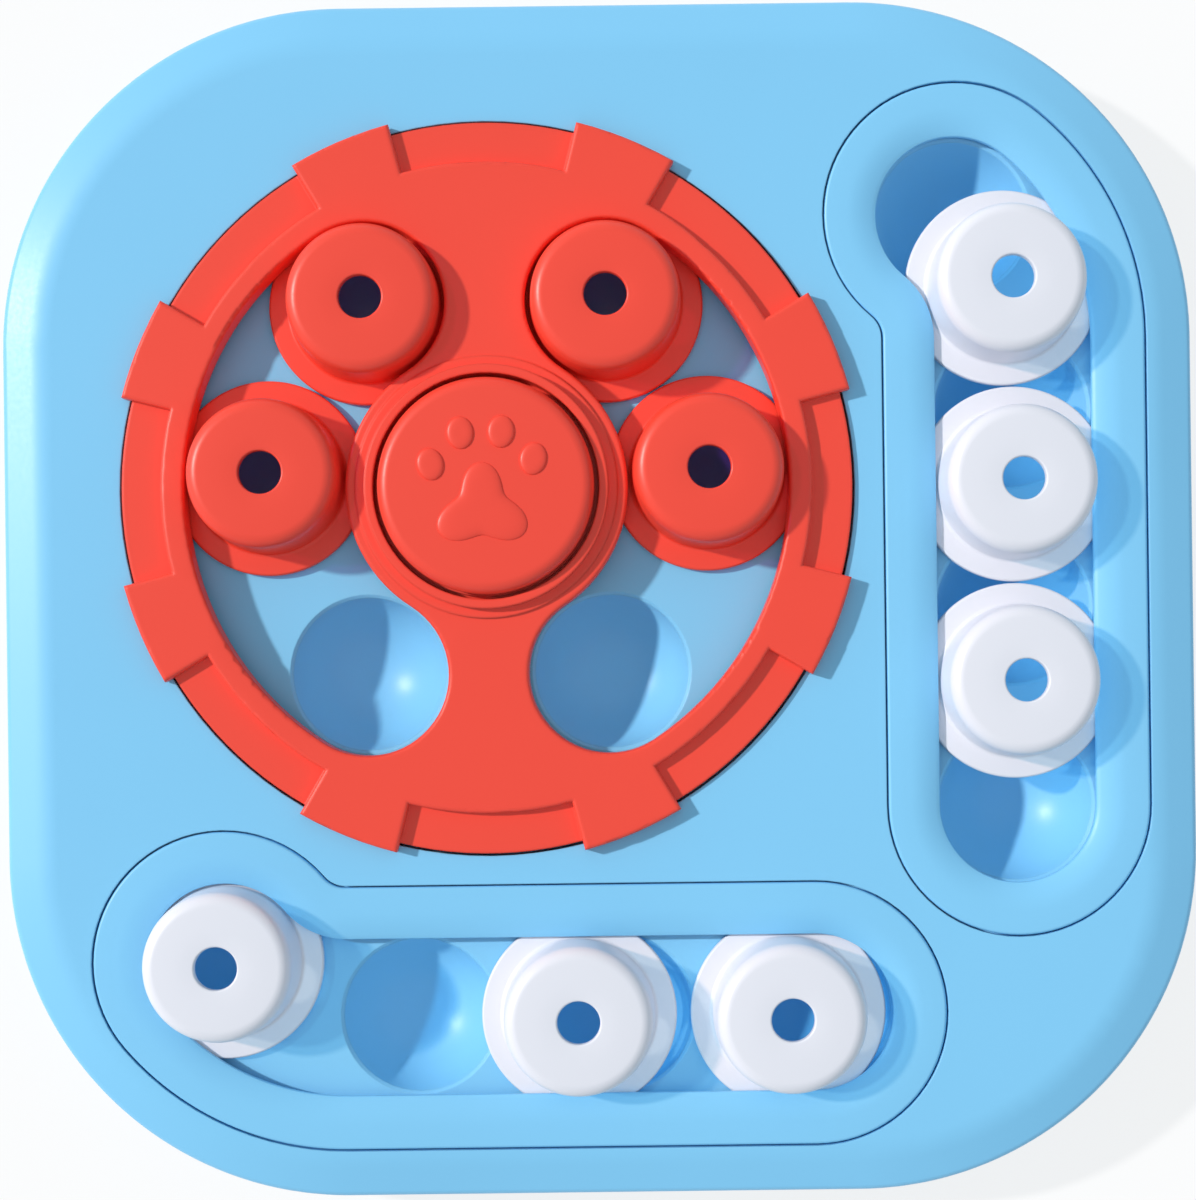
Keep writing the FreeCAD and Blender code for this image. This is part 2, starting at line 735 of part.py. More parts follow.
def make_hub():
    hub = ("-wheel_offset", "wheel_offset")
    ring = cylinder("retainer_ring", "retainer_radius", "retainer_low", "retainer_top", *hub)
    holes = [cylinder("retainer_hole", "retainer_hole_radius", "0", CLEAR, *hub)]
    for n, (x, y) in enumerate(hub_screw_places()):
        holes.append(cylinder(f"retainer_screw_hole_{n}", "screw_radius + screw_pass_gap", "0", CLEAR, x, y))
    retainer = cut("hub_retainer", ring, fuse("retainer_holes", holes))

    cap = turned(
        "button_cap",
        [
            ("0", "button_height"),
            ("button_radius", "button_height"),
            ("button_radius", "button_low"),
            ("button_radius - button_wall", "button_low"),
            ("button_radius - button_wall", "button_height - button_wall"),
            ("stem_radius", "button_height - button_wall"),
            ("stem_radius", "stem_low + stem_lip_height"),
            ("stem_radius + stem_lip", "stem_low + stem_lip_height"),
            ("stem_radius", "stem_low"),
            ("stem_radius - stem_wall", "stem_low"),
            ("stem_radius - stem_wall", "button_height - button_wall"),
            ("0", "button_height - button_wall"),
        ],
    )
    dress(cap, FILLET, "button_round_edge", ring_at("button_radius", "button_height"), Radius="button_round")
    reach = "stem_radius + stem_lip + 1"
    slot_top = "stem_low + stem_slot_height"
    slots = [
        centred_box(f"stem_slot_{n}", reach, "stem_slot", "stem_low - 1", slot_top, turn=str(120 * n))
        for n in range(3)
    ]
    slotted = cut("button_slotted", cap, fuse("stem_slots", slots))
    paw = []
    toe_angles = (148, 107, 73, 32)
    for n, angle in enumerate(toe_angles):
        toe = doc.addObject("Part::Ellipsoid", f"paw_toe_{n}")
        bind(toe, Radius1="paw_rise", Radius2="paw_toe_length", Radius3="paw_toe_width")
        toe.Angle1 = 0
        x, y = f"paw_toe_ring * cos({angle})", f"paw_toe_ring * sin({angle}) - paw_pad_radius / 4"
        paw.append(place(toe, x, y, "button_height", str(angle)))
    for n, (across, up) in enumerate((("-0.75", "-1.0"), ("0.75", "-1.0"), ("0", "0.1"))):
        pad = doc.addObject("Part::Ellipsoid", f"paw_pad_{n}")
        bind(pad, Radius1="paw_rise", Radius2="paw_pad_radius", Radius3="paw_pad_radius")
        pad.Angle1 = 0
        paw.append(place(pad, f"{across} * paw_pad_radius", f"{up} * paw_pad_radius", "button_height"))
    button = fuse("horn_button", [slotted] + paw)
    place(button, *hub)

    bulb = turned(
        "squeaker_bulb",
        [
            ("reed_radius + reed_fit", "bulb_low"),
            ("bulb_neck_radius", "bulb_low"),
            ("bulb_radius", "bulb_low + (bulb_high - bulb_low) * 0.2"),
            ("bulb_radius", "bulb_low + (bulb_high - bulb_low) * 0.4"),
            ("bulb_neck_radius", "bulb_low + (bulb_high - bulb_low) * 0.5"),
            ("bulb_radius", "bulb_low + (bulb_high - bulb_low) * 0.6"),
            ("bulb_radius", "bulb_low + (bulb_high - bulb_low) * 0.8"),
            ("bulb_neck_radius", "bulb_high"),
            ("0", "bulb_high"),
            ("0", "bulb_high - bulb_wall"),
            ("bulb_neck_radius - bulb_wall", "bulb_high - bulb_wall"),
            ("bulb_radius - bulb_wall", "bulb_low + (bulb_high - bulb_low) * 0.8"),
            ("bulb_radius - bulb_wall", "bulb_low + (bulb_high - bulb_low) * 0.6"),
            ("bulb_neck_radius - bulb_wall", "bulb_low + (bulb_high - bulb_low) * 0.5"),
            ("bulb_radius - bulb_wall", "bulb_low + (bulb_high - bulb_low) * 0.4"),
            ("bulb_radius - bulb_wall", "bulb_low + (bulb_high - bulb_low) * 0.2"),
            ("bulb_neck_radius - bulb_wall", "bulb_low + bulb_wall"),
            ("reed_radius + reed_fit", "bulb_low + bulb_wall"),
        ],
    )
    place(bulb, *hub)
    reed = turned(
        "squeaker_reed",
        [
            ("reed_bore_radius", "turret_bottom"),
            ("reed_radius", "turret_bottom"),
            ("reed_radius", "turret_floor_top"),
            ("reed_flange_radius", "turret_floor_top"),
            ("reed_flange_radius", "bulb_low"),
            ("reed_radius", "bulb_low"),
            ("reed_radius", "bulb_low + reed_length"),
            ("reed_bore_radius", "bulb_low + reed_length"),
        ],
    )
    place(reed, *hub)
    return [retainer, button, bulb, reed]


# Feet


def make_feet():
    feet = []
    seat = "rim_gap + foot_seat_depth"
    neck = "foot_seat_top + 0.2"
    for name, (x, y) in FOOT_PLACES.items():
        foot = turned(
            name,
            [
                ("0", "0"),
                ("foot_radius - foot_edge", "0"),
                ("foot_radius", "foot_edge"),
                ("foot_radius", seat),
                ("foot_stem_radius", seat),
                ("foot_stem_radius", neck),
                ("foot_stem_radius + foot_barb", neck),
                ("foot_stem_radius", f"{neck} + foot_barb_height"),
                ("0", f"{neck} + foot_barb_height"),
            ],
        )
        feet.append(place(foot, x, y))
    return feet


nodes = [make_base_board()]
nodes += make_covers()
nodes += make_screws()
nodes += make_knobs()
nodes.append(make_wheel())
nodes += make_hub()
nodes += make_feet()
doc.recompute()

for thing in doc.Objects:
    if {"Invalid", "Error"} & set(thing.State):
        raise RuntimeError(f"{thing.Label} is {thing.State}")
for node in nodes:
    if node.Shape.isNull() or not node.Shape.isValid():
        raise RuntimeError(f"{node.Label} has no valid shape")

os.makedirs("parts", exist_ok=True)
for node in nodes:
    node.Shape.exportStep(f"parts/{node.Label}.step")
    print(node.Label, len(node.Shape.Solids), round(node.Shape.Volume, 1))
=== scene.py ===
"""Dog puzzle feeder: a light blue board, a red steering wheel, captive pegs and white knobs in two tracks."""

import json
import logging
import math
from dataclasses import dataclass
from enum import Enum

import bmesh
import bpy
import numpy as np
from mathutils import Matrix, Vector


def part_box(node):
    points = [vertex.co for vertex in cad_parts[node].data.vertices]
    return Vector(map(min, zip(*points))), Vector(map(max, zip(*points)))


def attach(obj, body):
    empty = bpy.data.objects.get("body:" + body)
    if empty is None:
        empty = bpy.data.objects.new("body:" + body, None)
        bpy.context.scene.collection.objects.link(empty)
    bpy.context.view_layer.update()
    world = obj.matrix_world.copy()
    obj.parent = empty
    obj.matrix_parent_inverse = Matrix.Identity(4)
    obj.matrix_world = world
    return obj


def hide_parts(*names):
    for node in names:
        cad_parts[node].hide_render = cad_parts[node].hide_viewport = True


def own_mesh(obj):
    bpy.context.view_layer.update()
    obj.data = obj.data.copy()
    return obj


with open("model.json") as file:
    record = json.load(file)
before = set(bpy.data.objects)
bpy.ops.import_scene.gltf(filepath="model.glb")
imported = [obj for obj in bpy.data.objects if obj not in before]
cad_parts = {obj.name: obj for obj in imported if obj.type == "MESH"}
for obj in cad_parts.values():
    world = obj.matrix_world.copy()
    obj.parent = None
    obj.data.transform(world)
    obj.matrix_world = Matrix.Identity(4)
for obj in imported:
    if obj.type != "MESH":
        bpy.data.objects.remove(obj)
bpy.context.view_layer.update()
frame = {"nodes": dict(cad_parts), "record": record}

log = logging.getLogger("puzzle_feeder")
MM = 0.001
PHOTO_WIDTH = 1196
PHOTO_HEIGHT = 1200
MERGE_NEW = 1e-7
MERGE_COPY = 2e-6
CLOUD_SCALE = 14.0
CLOUD_DETAIL = 3.0
GRAIN_SCALE = 900.0
GRAIN_DETAIL = 2.0
GRAIN_DEPTH = 0.1 * MM
SHEEN_BELOW = 0.04
SHEEN_ABOVE = 0.06
EDGE_SAMPLES = 6
EVEN_WEIGHT = 100


class Side(Enum):
    """The two tracks: each is the other's mirror image across the board's diagonal."""

    RIGHT = "right"
    FRONT = "front"


# Mesh helpers


def arc(centre: tuple[float, float], radius: float, start: float, end: float, steps: int) -> np.ndarray:
    """Points of a circular arc.

    Formula: centre plus radius times the cosine and sine of angles evenly spaced from start to end.

    Args:
        centre: middle of the arc.
        radius: its radius.
        start: first angle in degrees.
        end: last angle in degrees.
        steps: number of spans.

    Returns:
        Array of steps + 1 points.
    """
    angle = np.radians(np.linspace(start, end, steps + 1))
    return np.stack((centre[0] + radius * np.cos(angle), centre[1] + radius * np.sin(angle)), axis=1)


def away(angle: np.ndarray) -> np.ndarray:
    """Unit directions at angles in radians.

    Args:
        angle: the angles.

    Returns:
        Array of directions.
    """
    return np.stack((np.cos(angle), np.sin(angle)), axis=1)


def grid_faces(rows: int, columns: int, wrap_rows: bool, wrap_columns: bool) -> np.ndarray:
    """Quads that join the points of a grid, row by row.

    Args:
        rows: number of rows of points.
        columns: number of points in a row.
        wrap_rows: whether the last row joins the first.
        wrap_columns: whether the last column joins the first.

    Returns:
        Array of four point numbers for each face.
    """
    row = np.arange(rows if wrap_rows else rows - 1)[:, None]
    column = np.arange(columns if wrap_columns else columns - 1)[None, :]
    next_row = (row + 1) % rows
    next_column = (column + 1) % columns
    corners = (row * columns + column, next_row * columns + column)
    corners += (next_row * columns + next_column, row * columns + next_column)
    return np.stack(np.broadcast_arrays(*corners), axis=-1).reshape(-1, 4)


def smooth_object(
    name: str, points: np.ndarray, faces: list[list[int]], merge: float, sharp: float, outward: bool
) -> bpy.types.Object:
    """Put points and faces into a new smooth object and merge its doubles.

    Args:
        name: the piece's name.
        points: array of places in metres, one a row.
        faces: point numbers of each face.
        merge: distance in metres within which points become one.
        sharp: angle in degrees past which an edge stays sharp.
        outward: whether the faces are turned outwards.

    Returns:
        The new object.
    """
    mesh = bpy.data.meshes.new(name)
    mesh.from_pydata(points, [], faces)
    clean = bmesh.new()
    clean.from_mesh(mesh)
    bmesh.ops.remove_doubles(clean, verts=clean.verts, dist=merge)
    if outward:
        bmesh.ops.recalc_face_normals(clean, faces=clean.faces)
    clean.to_mesh(mesh)
    clean.free()
    mesh.shade_smooth()
    mesh.set_sharp_from_angle(angle=math.radians(sharp))
    piece = bpy.data.objects.new(name, mesh)
    bpy.context.scene.collection.objects.link(piece)
    return piece


def make_piece(name: str, points: np.ndarray, faces: np.ndarray, sharp: float = 35.0) -> bpy.types.Object:
    """Make a smooth object of a closed surface, with its faces turned outwards.

    Args:
        name: the piece's name.
        points: array of places in metres.
        faces: array of point numbers, four for each face.
        sharp: angle in degrees past which an edge stays sharp.

    Returns:
        The new object.
    """
    return smooth_object(name, points.reshape(-1, 3), faces.tolist(), MERGE_NEW, sharp, True)


def smooth_copy(node: str, sharp: float = 24.0) -> bpy.types.Object:
    """Merged copy of a CAD node with smooth curved faces, which stands for that node.

    Args:
        node: the node's name.
        sharp: angle in degrees past which an edge stays sharp.

    Returns:
        The new object.
    """
    source = frame["nodes"][node].data
    places = np.empty(len(source.vertices) * 3)
    source.vertices.foreach_get("co", places)
    faces = [list(face.vertices) for face in source.polygons]
    piece = smooth_object(node + "_dressed", places.reshape(-1, 3), faces, MERGE_COPY, sharp, False)
    even = piece.modifiers.new("even_shading", "WEIGHTED_NORMAL")
    even.keep_sharp = True
    even.weight = EVEN_WEIGHT
    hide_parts(node)
    return piece


def turned(profile: np.ndarray, middle: Vector, steps: int) -> tuple[np.ndarray, np.ndarray]:
    """Turn a closed profile of radius and height about an upright axis.

    Formula: each profile point (r, z) becomes (r cos a, r sin a, z) for angles a round the full circle.

    Args:
        profile: closed ring of radius and height pairs in millimetres.
        middle: place of the axis in metres.
        steps: number of spans round the circle.

    Returns:
        Points in metres and faces.
    """
    angle = np.linspace(0.0, 2.0 * np.pi, steps, endpoint=False)[:, None]
    radius = profile[None, :, 0]
    height = np.broadcast_to(profile[None, :, 1], (steps, len(profile)))
    points = np.stack((radius * np.cos(angle), radius * np.sin(angle), height), axis=-1) * MM
    points[..., :2] += np.array(middle[:2])
    return points.reshape(-1, 3), grid_faces(steps, len(profile), True, True)


def pillow(reach: np.ndarray, rise: float, sink: float, rings: int = 14) -> tuple[np.ndarray, np.ndarray]:
    """Low raised figure with a round edge.

    Formula: height is rise times (1 - t^5)^0.5, where t runs from 0 in the middle to 1 on the outline.

    Args:
        reach: outline points about the figure's middle, in millimetres.
        rise: height of its top.
        sink: depth of its closed underside.
        rings: number of rings from the middle out.

    Returns:
        Points in millimetres and faces.
    """
    share = np.sin(np.linspace(0.0, np.pi / 2, rings + 1))[:, None]
    across = share[..., None] * reach[None, :, :]
    height = np.broadcast_to(rise * np.sqrt(np.clip(1.0 - share**5, 0.0, 1.0)), across.shape[:2])
    top = np.concatenate((across, height[..., None]), axis=-1)
    under = top[::-1].copy()
    under[..., 2] = -sink
    points = np.concatenate((top, under), axis=0)
    return points.reshape(-1, 3), grid_faces(len(points), len(reach), False, True)


# Finishes


def noise(
    tree: bpy.types.NodeTree, place: bpy.types.NodeSocket, scale: float, detail: float
) -> bpy.types.NodeSocket:
    """Add a noise to a node tree.

    Args:
        tree: the node tree.
        place: socket of the place that the noise is read at.
        scale: the noise's scale.
        detail: its detail.

    Returns:
        The noise's value.
    """
    made = tree.nodes.new("ShaderNodeTexNoise")
    made.inputs["Scale"].default_value = scale
    made.inputs["Detail"].default_value = detail
    tree.links.new(place, made.inputs["Vector"])
    return made.outputs["Fac"]


def mixed(
    tree: bpy.types.NodeTree,
    share: bpy.types.NodeSocket,
    first: bpy.types.NodeSocket,
    second: bpy.types.NodeSocket,
) -> bpy.types.NodeSocket:
    """Add a mix of two shaders to a node tree.

    Args:
        tree: the node tree.
        share: share of the second shader.
        first: the first shader.
        second: the second shader.

    Returns:
        The mixed shader.
    """
    mix = tree.nodes.new("ShaderNodeMixShader")
    tree.links.new(share, mix.inputs["Fac"])
    tree.links.new(first, mix.inputs[1])
    tree.links.new(second, mix.inputs[2])
    return mix.outputs[0]


@dataclass(frozen=True)
class Plastic:
    """Moulded plastic with a soft sheen, faint mottling and a fine moulded grain.

    Thin plastic lets some light through: passes is the share that one surface lets by on its way from
    a lamp.
    """

    name: str
    colour: tuple[float, float, float]
    roughness: float = 0.38
    gloss: float = 0.5
    mottle: float = 0.03
    grain: float = 0.05
    passes: tuple[float, float, float] = (0.0, 0.0, 0.0)
    edge_round: float = 0.0
    metal: float = 0.0

    def material(self) -> bpy.types.Material:
        """Build the node material on Object coordinates.

        Returns:
            The new material.
        """
        made = bpy.data.materials.new(self.name)
        made.use_nodes = True
        tree = made.node_tree
        nodes = tree.nodes
        links = tree.links
        shader = nodes["Principled BSDF"]
        place = nodes.new("ShaderNodeTexCoord").outputs["Object"]
        tone = nodes.new("ShaderNodeMapRange")
        tone.inputs["To Min"].default_value = 1.0 - self.mottle
        tone.inputs["To Max"].default_value = 1.0 + self.mottle
        links.new(noise(tree, place, CLOUD_SCALE, CLOUD_DETAIL), tone.inputs["Value"])
        tint = nodes.new("ShaderNodeVectorMath")
        tint.operation = "SCALE"
        tint.inputs[0].default_value = self.colour
        links.new(tone.outputs["Result"], tint.inputs["Scale"])
        links.new(tint.outputs["Vector"], shader.inputs["Base Color"])
        fine = noise(tree, place, GRAIN_SCALE, GRAIN_DETAIL)
        sheen = nodes.new("ShaderNodeMapRange")
        sheen.inputs["To Min"].default_value = self.roughness - SHEEN_BELOW
        sheen.inputs["To Max"].default_value = self.roughness + SHEEN_ABOVE
        links.new(fine, sheen.inputs["Value"])
        links.new(sheen.outputs["Result"], shader.inputs["Roughness"])
        bump = nodes.new("ShaderNodeBump")
        bump.inputs["Strength"].default_value = self.grain
        bump.inputs["Distance"].default_value = GRAIN_DEPTH
        links.new(fine, bump.inputs["Height"])
        if self.edge_round:
            edge = nodes.new("ShaderNodeBevel")
            edge.samples = EDGE_SAMPLES
            edge.inputs["Radius"].default_value = self.edge_round * MM
            links.new(edge.outputs["Normal"], bump.inputs["Normal"])
        links.new(bump.outputs["Normal"], shader.inputs["Normal"])
        shader.inputs["Specular IOR Level"].default_value = self.gloss
        shader.inputs["Metallic"].default_value = self.metal
        if any(self.passes):
            rays = nodes.new("ShaderNodeLightPath")
            thin = nodes.new("ShaderNodeBsdfTransparent")
            thin.inputs["Color"].default_value = (*self.passes, 1.0)
            both = mixed(tree, rays.outputs["Is Shadow Ray"], shader.outputs[0], thin.outputs[0])
            links.new(both, nodes["Material Output"].inputs["Surface"])
        return made


BLUE = (0.232, 0.602, 0.905)
RED = (0.90, 0.066, 0.038)
MILKY = (0.80, 0.80, 0.87)
FINISHES = {
    "board_plastic": Plastic("board_plastic", BLUE, 0.36, gloss=0.35, edge_round=0.5),
    "cover_plastic": Plastic("cover_plastic", BLUE, 0.36, gloss=0.35),
    "wheel_plastic": Plastic("wheel_plastic", RED, 0.38, gloss=0.4, edge_round=0.9),
    "button_plastic": Plastic("button_plastic", RED, 0.38, gloss=0.4),
    "peg_plastic": Plastic("peg_plastic", RED, 0.36, gloss=0.4, passes=(0.4, 0.15, 0.38)),
    "knob_plastic": Plastic("knob_plastic", MILKY, 0.36, mottle=0.012, passes=(0.60, 0.76, 0.84)),
    "retainer_plastic": Plastic("retainer_plastic", RED, 0.5),
    "reed_plastic": Plastic("reed_plastic", (0.75, 0.75, 0.72), 0.5),
    "bulb_rubber": Plastic("bulb_rubber", (0.62, 0.60, 0.55), 0.6, grain=0.1),
    "foot_rubber": Plastic("foot_rubber", (0.022, 0.024, 0.028), 0.75, grain=0.3),
    "screw_steel": Plastic("screw_steel", (0.55, 0.56, 0.58), 0.3, grain=0.1, metal=1.0),
}


class Paint:
    """Makes each finish once and puts it on pieces and CAD nodes."""

    def __init__(self) -> None:
        """Build every material."""
        self.materials = {slot: finish.material() for slot, finish in FINISHES.items()}

    def dress(self, piece: bpy.types.Object, slot: str, body: str) -> None:
        """Give a new piece its finish, its body and its line in the log.

        Args:
            piece: the finished object.
            slot: the record's material slot.
            body: the body that the piece moves with.
        """
        piece.data.materials.clear()
        piece.data.materials.append(self.materials[slot])
        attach(piece, body)
        log.info("%s: %d faces on %s", piece.name, len(piece.data.polygons), body)

    def carry_over(self, nodes: list[str]) -> None:
        """Give CAD nodes that stay in view their node material.

        Args:
            nodes: names of the nodes.
        """
        slots = {part["node"]: part["material_slot"] for part in frame["record"]["subparts"]}
        for node in nodes:
            piece = frame["nodes"][node]
            if not piece.material_slots:
                piece.data.materials.append(None)
            piece.material_slots[0].material = self.materials[slots[node]]
            log.info("%s keeps its CAD mesh", node)


# Sub-assemblies


@dataclass
class Knob:
    """Hollow cap with a wide flange and a scent hole; sizes in millimetres above its own foot."""

    flange: float = 23.2
    flange_thick: float = 2.0
    flange_round: float = 0.6
    foot_round: float = 0.25
    dome: float = 18.0
    root: float = 1.0
    tip: float = 17.5
    wall: float = 2.0
    shoulder: float = 3.2
    inner_shoulder: float = 1.5
    hole: float = 5.0
    hole_round: float = 0.5
    crown: float = 0.15
    crown_middle: float = 0.03
    mouth: float = 0.3
    steps: int = 112

    def profile(self, low: float, height: float) -> np.ndarray:
        """Closed section: flange, root fillet, tapered side, shoulder, crowned top, hole and hollow inside.

        Args:
            low: height of the foot above the ground.
            height: height of the knob.

        Returns:
            Ring of radius and height pairs.
        """
        rim = self.flange_round
        lip = self.hole_round
        top = height - self.crown
        middle = (self.tip - self.shoulder + self.hole) / 2
        inner = self.inner_shoulder
        throat = self.dome - self.wall
        parts = [
            arc((self.flange - self.foot_round, self.foot_round), self.foot_round, -90, 0, 4),
            arc((self.flange - rim, self.flange_thick - rim), rim, 0, 90, 6),
            arc((self.dome + self.root, self.flange_thick + self.root), self.root, 270, 180, 6),
            arc((self.tip - self.shoulder, top - self.shoulder), self.shoulder, 4, 88, 14),
            np.array([[middle, height - self.crown_middle]]),
            arc((self.hole + lip, height - lip), lip, 90, 180, 6),
            np.array([[self.hole, height - self.wall]]),
            arc((self.tip - self.wall - inner, height - self.wall - inner), inner, 90, 0, 5),
            np.array([[throat, self.mouth], [throat + self.mouth, 0.0]]),
        ]
        ring = np.concatenate(parts)
        ring[:, 1] += low
        return ring

    def build(self, node: str, paint: Paint) -> None:
        """Make one knob where its node stands.

        Args:
            node: the node that it replaces, which is also its body's name.
            paint: the finishes.
        """
        low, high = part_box(node)
        middle = (low + high) / 2
        ring = self.profile(low.z / MM, (high.z - low.z) / MM)
        piece = make_piece(node + "_cap", *turned(ring, middle, self.steps))
        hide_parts(node)
        paint.dress(piece, "peg_plastic" if node.startswith("peg") else "knob_plastic", node)


@dataclass
class TrackCover:
    """Flush slotted cover of a bent track, carried round the track's middle line; sizes in millimetres."""

    side: Side
    corner: float = 60.8
    bend: float = 38.0
    bend_angle: float = 50.0
    near_end: float = 50.0
    half_width: float = 31.0
    slot_half: float = 18.6
    top: float = 26.5
    under: float = 23.6
    outer_round: float = 0.75
    lip_width: float = 7.0
    lip_drop: float = 1.7
    lip_share: float = 0.93
    lip_points: int = 14
    slot_round: float = 0.5
    slot_round_drop: float = 0.55
    steps: int = 24
    cap_steps: int = 40

    def path(self) -> tuple[np.ndarray, np.ndarray]:
        """Middle line of the track, once round, and the direction square to it.

        Formula: straights keep one direction, the bend turns about the board's corner middle, and ends turn
        about a point.

        Returns:
            Middle points and unit directions.
        """
        line = self.corner + self.bend
        bend_end = math.radians(self.bend_angle)
        up = np.linspace(-self.near_end, self.corner, self.steps, endpoint=False)
        down = self.corner - (up + self.near_end)
        turn = np.radians(np.linspace(0.0, self.bend_angle, self.steps, endpoint=False))
        back = bend_end - turn
        cap = np.radians(np.linspace(0.0, 180.0, self.cap_steps, endpoint=False))
        middles = [
            np.stack((np.full_like(up, line), up), axis=1),
            self.corner + self.bend * away(turn),
            self.corner + self.bend * away(np.full_like(cap, bend_end)),
            self.corner + self.bend * away(back),
            np.stack((np.full_like(down, line), down), axis=1),
            np.tile((line, -self.near_end), (len(cap), 1)),
        ]
        ways = [
            away(np.zeros_like(up)),
            away(turn),
            away(bend_end + cap),
            away(back + np.pi),
            away(np.full_like(down, np.pi)),
            away(cap + np.pi),
        ]
        return np.concatenate(middles), np.concatenate(ways)

    def section(self) -> np.ndarray:
        """Closed section from the outer edge over the flat and the rounded lip to the slot.

        Formula: the lip falls by drop times t^2 as t runs from 0 at the flat to 1 at the slot's edge.

        Returns:
            Ring of offset and height pairs.
        """
        share = np.linspace(0.0, self.lip_share, self.lip_points)
        across = self.slot_half + self.lip_width * (1 - share)
        lip = np.stack((across, self.top - self.lip_drop * share**2), axis=1)
        outer = (self.half_width - self.outer_round, self.top - self.outer_round)
        inner = (self.slot_half + self.slot_round, lip[-1, 1] - self.slot_round_drop)
        parts = [
            np.array([[self.half_width, self.under]]),
            arc(outer, self.outer_round, 0, 90, 8),
            lip,
            arc(inner, self.slot_round, 100, 180, 5),
            np.array([[self.slot_half, self.under]]),
        ]
        return np.concatenate(parts)

    def build(self, paint: Paint) -> None:
        """Make the cover, mirrored for the front track.

        Args:
            paint: the finishes.
        """
        middle, way = self.path()
        ring = self.section()
        flat = middle[:, None, :] + way[:, None, :] * ring[None, :, :1]
        height = np.broadcast_to(ring[None, :, 1], flat.shape[:2])
        points = np.concatenate((flat, height[..., None]), axis=-1) * MM
        if self.side is Side.FRONT:
            points = np.stack((-points[..., 1], -points[..., 0], points[..., 2]), axis=-1)
        node = f"track_cover_{self.side.value}"
        piece = make_piece(node + "_plate", points, grid_faces(len(middle), len(ring), True, True))
        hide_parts(node)
        paint.dress(piece, "cover_plastic", "board")


@dataclass
class HornButton:
    """Round hub cap with a raised paw print; sizes in millimetres."""

    radius: float = 25.3
    top: float = 37.0
    skirt_low: float = 32.5
    skirt_round: float = 0.3
    wall: float = 1.8
    edge: float = 2.9
    stem: float = 12.3
    stem_low: float = 25.9
    steps: int = 144
    sharp: float = 50.0
    paw_rise: float = 0.75
    paw_sink: float = 0.3
    paw_steps: int = 72
    pad_middle: tuple[float, float] = (-0.7, -5.6)
    pad_reach: float = 8.5
    pad_lobes: float = 0.27
    pad_width: float = 1.04
    pad_spread: float = 0.08
    toe_long: float = 3.8
    toe_cross: float = 3.15
    toe_places: tuple[tuple[float, float, float], ...] = (
        (-12.6, 4.8, 104.0),
        (-5.6, 12.0, 94.0),
        (3.9, 12.2, 86.0),
        (11.3, 5.8, 76.0),
    )

    def profile(self) -> np.ndarray:
        """Closed section of cap, skirt and stem, down to the axis.

        Returns:
            Ring of radius and height pairs.
        """
        inner = self.radius - self.wall
        under = self.top - self.wall
        bore = self.stem - self.wall
        foot = (self.radius - self.skirt_round, self.skirt_low + self.skirt_round)
        parts = [
            np.array([[0.0, self.top]]),
            arc((self.radius - self.edge, self.top - self.edge), self.edge, 90, 0, 12),
            arc(foot, self.skirt_round, 0, -90, 3),
            np.array([[inner, self.skirt_low], [inner, under]]),
            np.array([[self.stem, under], [self.stem, self.stem_low]]),
            np.array([[bore, self.stem_low], [bore, under], [0.0, under]]),
        ]
        return np.concatenate(parts)

    def pad(self, turn: np.ndarray) -> np.ndarray:
        """Outline of the three-lobed pad about its own middle.

        Formula: its reach is a (1 + b cos 3(f - 90 degrees)), with its lower half a little wider.

        Args:
            turn: angles in radians.

        Returns:
            Array of points in millimetres.
        """
        reach = self.pad_reach * (1.0 + self.pad_lobes * np.cos(3.0 * (turn - np.pi / 2)))
        wide = self.pad_width - self.pad_spread * np.sin(turn)
        return np.stack((reach * np.cos(turn) * wide, reach * np.sin(turn)), axis=1)

    def toe(self, turn: np.ndarray, lean: float) -> np.ndarray:
        """Outline of an oval toe about its own middle.

        Formula: an ellipse turned by the lean.

        Args:
            turn: angles in radians.
            lean: direction of its long way in degrees.

        Returns:
            Array of points in millimetres.
        """
        cosine = math.cos(math.radians(lean))
        sine = math.sin(math.radians(lean))
        long_way = self.toe_long * np.cos(turn)
        cross_way = self.toe_cross * np.sin(turn)
        return np.stack((long_way * cosine - cross_way * sine, long_way * sine + cross_way * cosine), axis=1)

    def paw(self) -> tuple[np.ndarray, np.ndarray]:
        """Four oval toes and a pad, set a little off the middle.

        Returns:
            Points in millimetres about the cap's middle and faces.
        """
        turn = np.linspace(0.0, 2.0 * np.pi, self.paw_steps, endpoint=False)
        figures = [(self.pad(turn), self.pad_middle)]
        figures += [(self.toe(turn, lean), (x, y)) for x, y, lean in self.toe_places]
        points = []
        faces = []
        count = 0
        for outline, (x, y) in figures:
            spots, quads = pillow(outline, self.paw_rise, self.paw_sink)
            points.append(spots + np.array((x, y, self.top)))
            faces.append(quads + count)
            count += len(spots)
        return np.concatenate(points), np.concatenate(faces)

    def build(self, paint: Paint) -> None:
        """Make the cap with its paw.

        Args:
            paint: the finishes.
        """
        low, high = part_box("horn_button")
        middle = (low + high) / 2
        cap, cap_faces = turned(self.profile(), middle, self.steps)
        paw, paw_faces = self.paw()
        paw = paw * MM
        paw[:, :2] += np.array(middle[:2])
        points = np.concatenate((cap, paw))
        faces = np.concatenate((cap_faces, paw_faces + len(cap)))
        piece = make_piece("horn_cap", points, faces, self.sharp)
        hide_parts("horn_button")
        paint.dress(piece, "button_plastic", "button")


